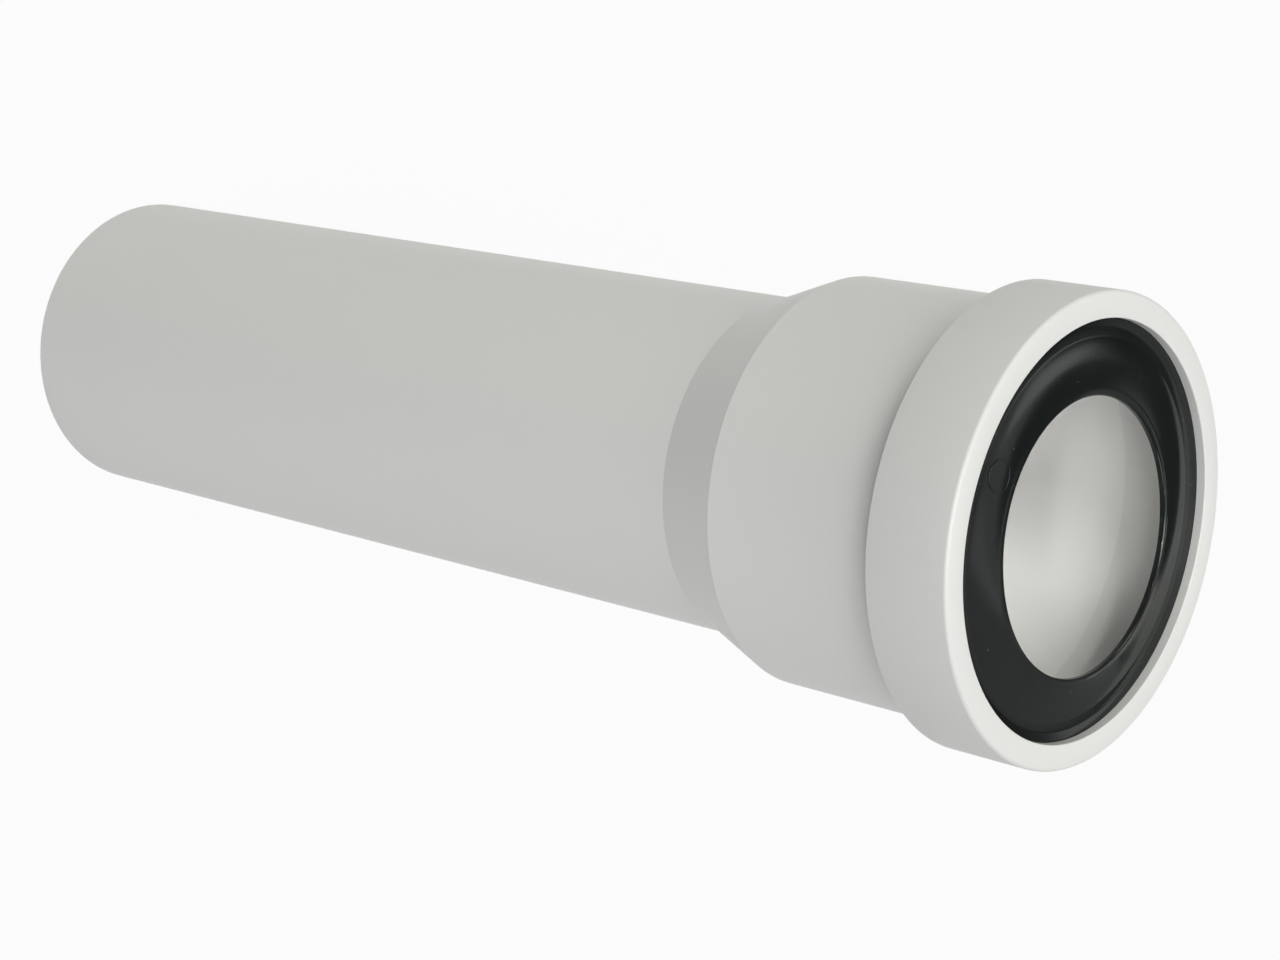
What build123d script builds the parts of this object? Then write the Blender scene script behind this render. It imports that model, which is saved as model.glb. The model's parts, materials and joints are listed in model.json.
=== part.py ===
from build123d import *

import math
import os

# Straight toilet pan connector, standing on the end of its spigot with the mouth up.
# The origin is the centre of the spigot's end and +Z is the axis of the pipe. Sizes are in millimetres.

# Sizes of the moulded body
SPIGOT_DIAMETER = 110.0
SPIGOT_LENGTH = 322.0
CONE_LENGTH = 27.0
SOCKET_DIAMETER = 130.4
SOCKET_LENGTH = 64.0
COLLAR_STEP = 6.3
COLLAR_LENGTH = 28.0
WALL = 3.0
FACE_WIDTH = 8.2
FACE_EDGE_RADIUS = 1.2
MOUTH_BEVEL = 0.4
GROOVE_LENGTH = 10.0

# Sizes of the rubber seal
SEAL_CLEARANCE = 0.1
RIM_WIDTH = 4.1
VALLEY_DEPTH = 2.0
VALLEY_WIDTH = 1.7
VALLEY_BEVEL = 0.6
HOLE_DIAMETER = 84.0
LIP_RECESS = 1.8
LIP_THICKNESS = 2.0
NOSE_RADIUS = 0.8
DOME_RISE = 0.3
MEMBRANE_THICKNESS = 2.5
WEB_BEVEL = 1.5
ROOT_BEVEL = 0.5

# Levels along the axis
cone_start = SPIGOT_LENGTH
cone_end = cone_start + CONE_LENGTH
collar_back = cone_end + SOCKET_LENGTH
face = collar_back + COLLAR_LENGTH
groove_top = face - WALL
groove_bottom = groove_top - GROOVE_LENGTH

# Radii of the body
spigot_r = SPIGOT_DIAMETER / 2
socket_r = SOCKET_DIAMETER / 2
collar_r = socket_r + COLLAR_STEP
mouth_r = collar_r - FACE_WIDTH
groove_r = collar_r - WALL
bore_r = spigot_r - WALL
chamber_r = socket_r - WALL


def turned(section, rounded, bevelled):
    """A section of (radius, height), with the named corners rounded or bevelled, turned about the axis."""
    for corner, radius in rounded:
        section = fillet(section.vertices().sort_by_distance(corner)[:1], radius)
    for corner, width in bevelled:
        section = chamfer(section.vertices().sort_by_distance(corner)[:1], width)
    return revolve(Plane.XZ * section, Axis.Z)


def moulded_body():
    """Spigot, cone and socket of even wall, and the thick collar with its groove, moulded as one piece."""
    # The wall keeps its thickness round the cone, so the inner corners sit a little further along the axis.
    cone_angle = math.atan2(socket_r - spigot_r, CONE_LENGTH)
    inner_shift = WALL * math.tan(cone_angle / 2)
    outer = [
        (bore_r, 0),
        (spigot_r, 0),
        (spigot_r, cone_start),
        (socket_r, cone_end),
        (socket_r, collar_back),
        (collar_r, collar_back),
        (collar_r, face),
        (mouth_r, face),
    ]
    inner = [
        (mouth_r, groove_top),
        (groove_r, groove_top),
        (groove_r, groove_bottom),
        (chamber_r, groove_bottom),
        (chamber_r, cone_end + inner_shift),
        (bore_r, cone_start + inner_shift),
    ]
    rounded = [((collar_r, face), FACE_EDGE_RADIUS)]
    bevelled = [((mouth_r, face), MOUTH_BEVEL)]
    return turned(make_face(Polyline(*outer, *inner, close=True)), rounded, bevelled)


def rubber_seal():
    """Root ring held in the collar's groove, flat rim, valley, and a domed membrane that ends in the lip."""
    root_r = groove_r - SEAL_CLEARANCE
    root_top = groove_top - SEAL_CLEARANCE
    root_bottom = groove_bottom + SEAL_CLEARANCE
    rim_r = mouth_r - RIM_WIDTH
    valley_r = rim_r - VALLEY_WIDTH
    valley = root_top - VALLEY_DEPTH
    web_bottom = valley - MEMBRANE_THICKNESS
    hole_r = HOLE_DIAMETER / 2
    lip_top = face - LIP_RECESS
    lip_bottom = lip_top - LIP_THICKNESS

    dome = SagittaArc((valley_r, valley), (hole_r, lip_top), -DOME_RISE)
    behind = Polyline(
        (hole_r, lip_top),
        (hole_r, lip_bottom),
        (valley_r, web_bottom),
        (chamber_r, web_bottom),
        (chamber_r, root_bottom),
        (root_r, root_bottom),
        (root_r, root_top),
        (rim_r, root_top),
        (valley_r, valley),
    )
    rounded = [((hole_r, lip_top), NOSE_RADIUS)]
    bevelled = [
        ((valley_r, valley), VALLEY_BEVEL),
        ((chamber_r, web_bottom), WEB_BEVEL),
        ((chamber_r, root_bottom), ROOT_BEVEL),
        ((root_r, root_bottom), ROOT_BEVEL),
        ((root_r, root_top), ROOT_BEVEL),
    ]
    return turned(make_face(dome + behind), rounded, bevelled)


os.makedirs("parts", exist_ok=True)
for node, solid in (("body", moulded_body()), ("seal", rubber_seal())):
    export_step(solid, f"parts/{node}.step")
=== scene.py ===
import json
import math

import bmesh
import bpy
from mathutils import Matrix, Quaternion, Vector


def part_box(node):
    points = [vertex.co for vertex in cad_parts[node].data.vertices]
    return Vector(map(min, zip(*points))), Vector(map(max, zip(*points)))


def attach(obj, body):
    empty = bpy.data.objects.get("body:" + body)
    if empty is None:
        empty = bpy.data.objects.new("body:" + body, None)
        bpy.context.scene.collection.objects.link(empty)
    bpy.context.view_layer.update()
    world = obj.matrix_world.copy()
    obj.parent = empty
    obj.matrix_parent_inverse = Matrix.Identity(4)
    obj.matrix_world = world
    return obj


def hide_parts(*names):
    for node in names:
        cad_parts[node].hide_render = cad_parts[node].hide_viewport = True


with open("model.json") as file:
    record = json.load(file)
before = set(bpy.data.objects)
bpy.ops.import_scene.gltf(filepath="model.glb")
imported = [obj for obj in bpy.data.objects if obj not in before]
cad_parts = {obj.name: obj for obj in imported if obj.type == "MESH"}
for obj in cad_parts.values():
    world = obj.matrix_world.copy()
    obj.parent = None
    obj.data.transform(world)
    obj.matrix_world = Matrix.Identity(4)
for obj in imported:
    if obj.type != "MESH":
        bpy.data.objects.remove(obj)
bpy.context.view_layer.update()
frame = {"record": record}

# A straight toilet pan connector, standing on its spigot's end with the mouth up.
# Sizes are in metres, in the CAD frame: the pipe's axis is +Z and the spigot's end is at height 0.
MM = 0.001
mounts = {mount["name"]: mount for mount in frame["record"]["mounts"]}

# Sizes of the plastic body
SPIGOT_RADIUS = mounts["spigot"]["dims"]["r_mm"] * MM
SPIGOT_LENGTH = mounts["spigot"]["dims"]["length_mm"] * MM
CONE_LENGTH = 27 * MM
SOCKET_RADIUS = 65.2 * MM
COLLAR_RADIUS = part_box("body")[1].x
COLLAR_LENGTH = 28 * MM
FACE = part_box("body")[1].z
FACE_WIDTH = 8.2 * MM
WALL = 3 * MM
GROOVE_LENGTH = 10 * MM
FACE_EDGE = 1.2 * MM
MOUTH_EDGE = 0.4 * MM
CONE_EDGE = 1.0 * MM
CUT_EDGE = 0.3 * MM
COLLAR_BACK = FACE - COLLAR_LENGTH
MOUTH_RADIUS = COLLAR_RADIUS - FACE_WIDTH
CHAMBER_RADIUS = SOCKET_RADIUS - WALL

# Sizes of the rubber seal: a narrow rim, a slope down to the valley's flat floor, a bowed membrane,
# and the bead round the lip
CLEARANCE = 0.1 * MM
RIM_WIDTH = 0.4 * MM
RIM_ROUND = 1.0 * MM
VALLEY_DEPTH = 0.45 * MM
VALLEY_WIDTH = 2.6 * MM
VALLEY_FLOOR = 2.7 * MM
VALLEY_ROUND = 3.0 * MM
WEB_ROUND = 1.5 * MM
HOLE_RADIUS = mounts["pan_outlet"]["dims"]["r_mm"] * MM
LIP_RECESS = 2.1 * MM
LIP_THICKNESS = 2.0 * MM
NOSE_ROUND = 0.8 * MM
BEAD_WIDTH = 1.6 * MM
BEAD_STEP = 0.1 * MM
BEAD_SLOPE = 0.7 * MM
BEAD_ROUND = 0.2 * MM
DOME_RISE = 0.18 * MM
DOME_POINTS = 14
MEMBRANE = 2.5 * MM
ROOT_EDGE = 0.5 * MM
LIP_SHIFT = Vector((2.0, -1.9, 0)) * MM
LIP_TILT = Vector((0.012, -0.034))
LIP_BEND = 2.4

# The thin round line that the mould leaves on the membrane
MARK_AROUND = math.radians(161)
MARK_FROM_AXIS = 50 * MM
MARK_RADIUS = 4.8 * MM
MARK_LINE = 0.22 * MM
MARK_PROUD = 0.05 * MM
MARK_FLATNESS = 0.5
MARK_STEPS = 96
MARK_LINE_STEPS = 12

# Steps round the axis, and faces in each rounded corner
TURN_STEPS = 320
ROUND_SEGMENTS = 5
SMOOTH_ANGLE = math.radians(35)
MERGE_DISTANCE = 0.001 * MM

# Camera
CAMERA_PLACE = Vector((-0.67877, 0.08357, 0.85950))
CAMERA_AIM = Vector((-0.00179, -0.01261, 0.26594))
CAMERA_ROLL = math.radians(102.228)
CAMERA_LENS = 76.07
CAMERA_SENSOR = 36

# Looks of the plastic
PLASTIC_DARK = (0.835, 0.835, 0.82, 1)
PLASTIC_LIGHT = (0.85, 0.85, 0.835, 1)
PLASTIC_CLOUD_SCALE = 18
PLASTIC_GRAIN_SCALE = 1400
PLASTIC_IOR = 1.48
PLASTIC_ROUGHNESS = 0.34
PLASTIC_BUMP = 0.05
STREAK_STRETCH = (1, 1, 0.02)
STREAK_SCALE = 90
STREAK_ROUGHNESS = 0.12
STREAK_HEIGHT = 0.6
# Painted shade: the plastic from the collar's back upwards is multiplied by this, to darken it as if in
# shade
COLLAR_PAINTED_SHADE = (0.925, 0.925, 0.925, 1)
COLLAR_SHADE_FADE = 0.5 * MM

# Looks of the rubber, with fine dust on it
RUBBER_DARK = (0.0070, 0.0088, 0.0082, 1)
RUBBER_LIGHT = (0.0108, 0.0134, 0.0124, 1)
RUBBER_TINT = (0.93, 1, 0.97, 1)
RUBBER_GRAIN_SCALE = 2200
RUBBER_IOR = 1.5
RUBBER_ROUGHNESS = 0.08
RUBBER_BUMP = 0.04
BLOOM_SCALE = 60
BLOOM_ROUGHNESS = 0.08
DUST_PER_METRE = 200
DUST_RADIUS = 0.15 * MM
DUST_COLOR = (0.22, 0.22, 0.21, 1)

# Depth of the bumps on both materials
BUMP_DISTANCE = 0.2 * MM

# Floor and surroundings
WHITE = (1, 1, 1, 1)
FLOOR_SIZE = 60
FLOOR_WHITE = 0.95
FLOOR_PAPER = (0.4, 0.4, 0.4, 1)
WORLD_STRENGTH = 0.02
# The white sweep behind the floor, as mirrored: heights of its full white and of its end
SWEEP_FULL = 0.06
SWEEP_END = 0.11

# Soft boxes far off: name, degrees round the axis from +X, degrees up, width, height, watts, colour
BOX_DISTANCE = 10
BOXES = [
    ("left_box", 90, 30, 4.5, 4.5, 287, (0.99, 1, 0.92)),
    ("right_box", 240, 30, 4.5, 4.5, 162, (0.975, 0.985, 1)),
    ("near_box", 180, 50, 4.5, 4.5, 385, (1, 0.995, 0.985)),
    ("top_far_box", 0, 70, 4.5, 4.5, 207, (1, 1, 0.985)),
    ("top_near_box", 180, 70, 4.5, 4.5, 333, (1, 1, 0.985)),
    ("far_box", 3.5, 39.5, 1.2, 1.8, 5.4, (1, 1, 1)),
    ("far_glow_box", 357, 43, 2.4, 2.8, 7, (1, 1, 1)),
    ("far_right_box", 321, 30, 8.5, 9, 58, (1, 1, 1)),
]

# Small lamps with grids, close to the mouth, that light the wall seen through the hole:
# name, degrees round the axis from +X, degrees up, watts
MOUTH_LAMPS = [
    ("mouth_left_lamp", 140, 48, 0.0050),
    ("mouth_right_lamp", 225, 50, 0.0020),
    ("mouth_low_lamp", 178, 26, 0.0015),
]
MOUTH_LAMP_DISTANCE = 0.35
MOUTH_LAMP_WIDTH = 0.066
MOUTH_LAMP_HEIGHT = 0.052
MOUTH_LAMP_SPREAD = math.radians(6)
MOUTH_LAMP_COLOR = (1, 0.99, 0.95)

# The Mix node's sockets for colours
MIX_A = 6
MIX_B = 7
MIX_RESULT = 2


class Socket:
    """A socket of a node tree. Arithmetic on it adds Math nodes, and node() adds any other node."""

    def __init__(self, tree, socket=None):
        self.tree = tree
        self.socket = socket

    def node(self, kind, settings=None, inputs=None, output=0):
        made = self.tree.nodes.new(kind)
        for key, value in (settings or {}).items():
            setattr(made, key, value)
        for key, value in (inputs or {}).items():
            if isinstance(value, Socket):
                self.tree.links.new(value.socket, made.inputs[key])
            else:
                made.inputs[key].default_value = value
        return Socket(self.tree, made.outputs[output] if made.outputs else None)

    def math(self, operation, a, b):
        return self.node("ShaderNodeMath", {"operation": operation}, {0: a, 1: b})

    def __add__(self, other):
        return self.math("ADD", self, other)

    def __radd__(self, other):
        return self.math("ADD", other, self)

    def __mul__(self, other):
        return self.math("MULTIPLY", self, other)

    def __rmul__(self, other):
        return self.math("MULTIPLY", other, self)


def new_material(name):
    material = bpy.data.materials.new(name)
    material.use_nodes = True
    material.node_tree.nodes.clear()
    return material, Socket(material.node_tree)


def mixed_color(tree, factor, a, b, blend="MIX"):
    return tree.node(
        "ShaderNodeMix",
        {"data_type": "RGBA", "blend_type": blend},
        {"Factor": factor, MIX_A: a, MIX_B: b},
        output=MIX_RESULT,
    )


def noise(tree, place, scale, detail):
    return tree.node("ShaderNodeTexNoise", {}, {"Vector": place, "Scale": scale, "Detail": detail})


def bumped(tree, strength, height):
    return tree.node(
        "ShaderNodeBump",
        {},
        {"Strength": strength, "Distance": BUMP_DISTANCE, "Height": height},
        output="Normal",
    )


def white_plastic():
    material, tree = new_material("white_plastic")
    place = tree.node("ShaderNodeTexCoord", output="Object")
    along = tree.node("ShaderNodeVectorMath", {"operation": "MULTIPLY"}, {0: place, 1: STREAK_STRETCH})
    streaks = noise(tree, along, STREAK_SCALE, detail=3)
    grain = noise(tree, place, PLASTIC_GRAIN_SCALE, detail=2)
    cloud = noise(tree, place, PLASTIC_CLOUD_SCALE, detail=2)
    color = mixed_color(tree, cloud, PLASTIC_DARK, PLASTIC_LIGHT)
    # Painted shade: the plastic from the collar's back upwards (the collar, its face and the mouth) is
    # painted a little darker to stand in for shade. It is the same plastic as the pipe.
    height = tree.node("ShaderNodeSeparateXYZ", {}, {"Vector": place}, output="Z")
    collar_painted_shade_mask = tree.node(
        "ShaderNodeMapRange",
        {},
        {"Value": height, "From Min": COLLAR_BACK - COLLAR_SHADE_FADE, "From Max": COLLAR_BACK},
    )
    color = mixed_color(tree, collar_painted_shade_mask, color, COLLAR_PAINTED_SHADE, "MULTIPLY")
    shader = tree.node(
        "ShaderNodeBsdfPrincipled",
        {},
        {
            "Base Color": color,
            "Roughness": PLASTIC_ROUGHNESS + streaks * STREAK_ROUGHNESS,
            "IOR": PLASTIC_IOR,
            "Normal": bumped(tree, PLASTIC_BUMP, grain + streaks * STREAK_HEIGHT),
        },
    )
    tree.node("ShaderNodeOutputMaterial", {}, {"Surface": shader})
    return material


def black_rubber():
    material, tree = new_material("black_rubber")
    place = tree.node("ShaderNodeTexCoord", output="Object")
    bloom = noise(tree, place, BLOOM_SCALE, detail=4)
    grain = noise(tree, place, RUBBER_GRAIN_SCALE, detail=3)
    color = mixed_color(tree, bloom, RUBBER_DARK, RUBBER_LIGHT)
    spots = tree.node(
        "ShaderNodeTexVoronoi",
        {},
        {"Vector": place, "Scale": DUST_PER_METRE},
        output="Distance",
    )
    dust = tree.math("LESS_THAN", spots, DUST_RADIUS * DUST_PER_METRE)
    color = mixed_color(tree, dust, color, DUST_COLOR)
    shader = tree.node(
        "ShaderNodeBsdfPrincipled",
        {},
        {
            "Base Color": color,
            "Roughness": RUBBER_ROUGHNESS + bloom * BLOOM_ROUGHNESS,
            "IOR": RUBBER_IOR,
            "Specular Tint": RUBBER_TINT,
            "Normal": bumped(tree, RUBBER_BUMP, grain),
        },
    )
    tree.node("ShaderNodeOutputMaterial", {}, {"Surface": shader})
    return material


def pale_floor():
    material, tree = new_material("pale_floor")
    material.cycles.emission_sampling = "NONE"
    seen = tree.node("ShaderNodeLightPath", output="Is Camera Ray")
    mirrored = tree.node("ShaderNodeLightPath", output="Is Glossy Ray")
    passed = tree.node("ShaderNodeLightPath", output="Is Transmission Ray")
    paper = tree.node("ShaderNodeBsdfDiffuse", {}, {"Color": FLOOR_PAPER})
    white = tree.node("ShaderNodeEmission", {}, {"Color": WHITE, "Strength": 1.0})
    share = (seen + mirrored + passed) * FLOOR_WHITE
    surface = tree.node("ShaderNodeMixShader", {}, {"Fac": share, 1: paper, 2: white})
    tree.node("ShaderNodeOutputMaterial", {}, {"Surface": surface})
    return material


def turned(name, outline, material):
    """A ring spun about the pipe's axis from its section's corners, each (radius, height, rounding)."""
    corners = [Vector((radius, 0, height)) for radius, height, _ in outline]
    roundings = [rounding for _, _, rounding in outline]
    bpy.ops.object.select_all(action="DESELECT")
    bpy.ops.mesh.primitive_plane_add(size=MM)
    piece = bpy.context.object
    piece.name = piece.data.name = name
    bpy.ops.object.mode_set(mode="EDIT")
    bpy.ops.mesh.select_mode(type="VERT")
    bpy.ops.mesh.select_all(action="SELECT")
    bpy.ops.mesh.merge(type="CENTER")
    bpy.ops.transform.translate(value=corners[0])
    for start, end in zip(corners, corners[1:]):
        bpy.ops.mesh.extrude_region_move(TRANSFORM_OT_translate={"value": end - start})
    mesh = bmesh.from_edit_mesh(piece.data)
    mesh.verts.ensure_lookup_table()
    mesh.verts[0].select = True
    bpy.ops.mesh.edge_face_add()
    for n, (corner, rounding) in enumerate(zip(corners, roundings)):
        if not rounding:
            continue
        before = corners[n - 1] - corner
        after = corners[(n + 1) % len(corners)] - corner
        bpy.ops.mesh.select_all(action="DESELECT")
        mesh = bmesh.from_edit_mesh(piece.data)
        nearest = min(mesh.verts, key=lambda vertex: (vertex.co - corner).length)
        nearest.select = True
        bpy.ops.mesh.bevel(
            affect="VERTICES",
            offset=rounding / math.tan(before.angle(after) / 2),
            segments=ROUND_SEGMENTS,
        )
    bpy.ops.mesh.select_all(action="SELECT")
    bpy.ops.mesh.spin(steps=TURN_STEPS, angle=2 * math.pi, center=(0, 0, 0), axis=(0, 0, 1))
    bpy.ops.mesh.select_all(action="SELECT")
    bpy.ops.mesh.remove_doubles(threshold=MERGE_DISTANCE)
    bpy.ops.mesh.normals_make_consistent(inside=False)
    bpy.ops.object.mode_set(mode="OBJECT")
    bpy.ops.object.shade_smooth_by_angle(angle=SMOOTH_ANGLE)
    piece.data.materials.clear()
    piece.data.materials.append(material)
    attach(piece, "root")
    return piece


def plastic_body(material):
    cone_end = SPIGOT_LENGTH + CONE_LENGTH
    groove = COLLAR_RADIUS - WALL
    groove_top = FACE - WALL
    groove_bottom = groove_top - GROOVE_LENGTH
    bore = SPIGOT_RADIUS - WALL
    # The wall keeps its thickness round the cone, so the inner corners sit a little further along the axis.
    inner_shift = WALL * math.tan(math.atan2(SOCKET_RADIUS - SPIGOT_RADIUS, CONE_LENGTH) / 2)
    outline = [
        (bore, 0, CUT_EDGE),
        (SPIGOT_RADIUS, 0, CUT_EDGE),
        (SPIGOT_RADIUS, SPIGOT_LENGTH, CONE_EDGE),
        (SOCKET_RADIUS, cone_end, CONE_EDGE),
        (SOCKET_RADIUS, COLLAR_BACK, CUT_EDGE),
        (COLLAR_RADIUS, COLLAR_BACK, CUT_EDGE),
        (COLLAR_RADIUS, FACE, FACE_EDGE),
        (MOUTH_RADIUS, FACE, MOUTH_EDGE),
        (MOUTH_RADIUS, groove_top, 0),
        (groove, groove_top, 0),
        (groove, groove_bottom, 0),
        (CHAMBER_RADIUS, groove_bottom, 0),
        (CHAMBER_RADIUS, cone_end + inner_shift, CONE_EDGE),
        (bore, SPIGOT_LENGTH + inner_shift, CONE_EDGE),
    ]
    piece = turned("connector_body", outline, material)
    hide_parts("body")


def bowed(start, end, rise, count):
    """Points between two corners on a shallow bow that stands out from their chord by the rise."""
    start, end = Vector(start), Vector(end)
    chord = end - start
    out = Vector((-chord.y, chord.x)).normalized()
    points = []
    for n in range(1, count):
        along = n / count
        points.append(start + chord * along + out * 4 * rise * along * (1 - along))
    return points


def add_mould_mark(seal):
    """A thin flat ring, mostly sunk in the membrane and joined to the seal."""
    above = Vector((math.cos(MARK_AROUND), math.sin(MARK_AROUND), 0)) * MARK_FROM_AXIS
    above.z = FACE
    _, spot, normal, _ = seal.ray_cast(above, Vector((0, 0, -1)))
    bpy.ops.object.select_all(action="DESELECT")
    bpy.ops.mesh.primitive_torus_add(
        major_segments=MARK_STEPS,
        minor_segments=MARK_LINE_STEPS,
        major_radius=MARK_RADIUS,
        minor_radius=MARK_LINE,
        location=spot + normal * (MARK_PROUD - MARK_LINE * MARK_FLATNESS / 2),
        rotation=normal.to_track_quat("Z", "Y").to_euler(),
    )
    mark = bpy.context.object
    mark.scale.z = MARK_FLATNESS
    mark.data.materials.append(seal.data.materials[0])
    bpy.ops.object.transform_apply(location=True, rotation=True, scale=True)
    seal.select_set(True)
    bpy.context.view_layer.objects.active = seal
    bpy.ops.object.join()
    bpy.ops.object.shade_smooth_by_angle(angle=SMOOTH_ANGLE)


def rubber_seal(material):
    root = COLLAR_RADIUS - WALL - CLEARANCE
    root_top = FACE - WALL - CLEARANCE
    root_bottom = FACE - WALL - GROOVE_LENGTH + CLEARANCE
    rim = MOUTH_RADIUS - RIM_WIDTH
    valley_radius = rim - VALLEY_WIDTH
    floor_radius = valley_radius - VALLEY_FLOOR
    valley = root_top - VALLEY_DEPTH
    web_bottom = valley - MEMBRANE
    lip_top = FACE - LIP_RECESS
    bead = HOLE_RADIUS + BEAD_WIDTH
    bead_foot = (bead + BEAD_SLOPE, lip_top - BEAD_STEP)
    dome = bowed(bead_foot, (floor_radius, valley), DOME_RISE, DOME_POINTS)
    outline = [
        (HOLE_RADIUS, lip_top, NOSE_ROUND),
        (bead, lip_top, BEAD_ROUND),
        (*bead_foot, BEAD_ROUND),
        *[(point.x, point.y, 0) for point in dome],
        (floor_radius, valley, VALLEY_ROUND),
        (valley_radius, valley, VALLEY_ROUND),
        (rim, root_top, RIM_ROUND),
        (root, root_top, ROOT_EDGE),
        (root, root_bottom, ROOT_EDGE),
        (CHAMBER_RADIUS, root_bottom, ROOT_EDGE),
        (CHAMBER_RADIUS, web_bottom, WEB_ROUND),
        (floor_radius, web_bottom, 0),
        (HOLE_RADIUS, lip_top - LIP_THICKNESS, CUT_EDGE),
    ]
    piece = turned("lip_seal", outline, material)
    # The free lip hangs a little off centre and out of level; the held rim and the valley don't.
    for vertex in piece.data.vertices:
        radius = vertex.co.xy.length
        share = min(1, max(0, (floor_radius - radius) / (floor_radius - HOLE_RADIUS))) ** LIP_BEND
        lift = LIP_TILT.dot(vertex.co.xy) * share
        vertex.co += LIP_SHIFT * share + Vector((0, 0, lift))
    add_mould_mark(piece)
    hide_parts("seal")


def add_lamp(name, aim, around, up, distance, watts):
    """An area lamp that looks at the aim from a direction given in degrees round the axis and up."""
    around, up = math.radians(around), math.radians(up)
    way = Vector((math.cos(up) * math.cos(around), math.cos(up) * math.sin(around), math.sin(up)))
    bpy.ops.object.select_all(action="DESELECT")
    bpy.ops.object.light_add(type="AREA", location=aim + way * distance)
    lamp = bpy.context.object
    lamp.name = name
    lamp.rotation_mode = "QUATERNION"
    lamp.rotation_quaternion = way.to_track_quat("Z", "Y")
    lamp.data.energy = watts
    return lamp


def add_lamps():
    middle = Vector((0, 0, FACE / 2))
    for name, around, up, width, height, watts, color in BOXES:
        box = add_lamp(name, middle, around, up, BOX_DISTANCE, watts)
        box.data.shape = "RECTANGLE"
        box.data.size = width
        box.data.size_y = height
        box.data.color = color
    mouth = Vector((0, 0, FACE))
    for name, around, up, watts in MOUTH_LAMPS:
        lamp = add_lamp(name, mouth, around, up, MOUTH_LAMP_DISTANCE, watts)
        lamp.data.shape = "ELLIPSE"
        lamp.data.size = MOUTH_LAMP_WIDTH
        lamp.data.size_y = MOUTH_LAMP_HEIGHT
        lamp.data.spread = MOUTH_LAMP_SPREAD
        lamp.data.color = MOUTH_LAMP_COLOR
        lamp.visible_camera = False


def add_world():
    world = bpy.data.worlds.new("studio")
    bpy.context.scene.world = world
    world.use_nodes = True
    world.node_tree.nodes.clear()
    tree = Socket(world.node_tree)
    seen = tree.node("ShaderNodeLightPath", output="Is Camera Ray")
    mirrored = tree.node("ShaderNodeLightPath", output="Is Glossy Ray")
    way = tree.node("ShaderNodeTexCoord", output="Generated")
    height = tree.node("ShaderNodeSeparateXYZ", {}, {"Vector": way}, output="Z")
    sweep = tree.node(
        "ShaderNodeMapRange",
        {},
        {"Value": height, "From Min": SWEEP_FULL, "From Max": SWEEP_END, "To Min": 1, "To Max": 0},
    )
    light = tree.node("ShaderNodeBackground", {}, {"Color": WHITE, "Strength": WORLD_STRENGTH})
    white = tree.node("ShaderNodeBackground", {}, {"Color": WHITE, "Strength": 1.0})
    sky = tree.node("ShaderNodeMixShader", {}, {"Fac": seen + mirrored * sweep, 1: light, 2: white})
    tree.node("ShaderNodeOutputWorld", {}, {"Surface": sky})


def add_floor():
    bpy.ops.object.select_all(action="DESELECT")
    bpy.ops.mesh.primitive_plane_add(size=FLOOR_SIZE)
    floor = bpy.context.object
    floor.name = "floor"
    floor.data.materials.append(pale_floor())


def add_camera():
    bpy.ops.object.select_all(action="DESELECT")
    bpy.ops.object.camera_add(location=CAMERA_PLACE)
    camera = bpy.context.object
    camera.rotation_mode = "QUATERNION"
    level = (CAMERA_AIM - CAMERA_PLACE).to_track_quat("-Z", "Y")
    camera.rotation_quaternion = level @ Quaternion((0, 0, 1), CAMERA_ROLL)
    camera.data.lens = CAMERA_LENS
    camera.data.sensor_width = CAMERA_SENSOR
    bpy.context.scene.camera = camera


plastic_body(white_plastic())
rubber_seal(black_rubber())
add_floor()
add_lamps()
add_world()
add_camera()
bpy.context.scene.view_settings.view_transform = "Standard"
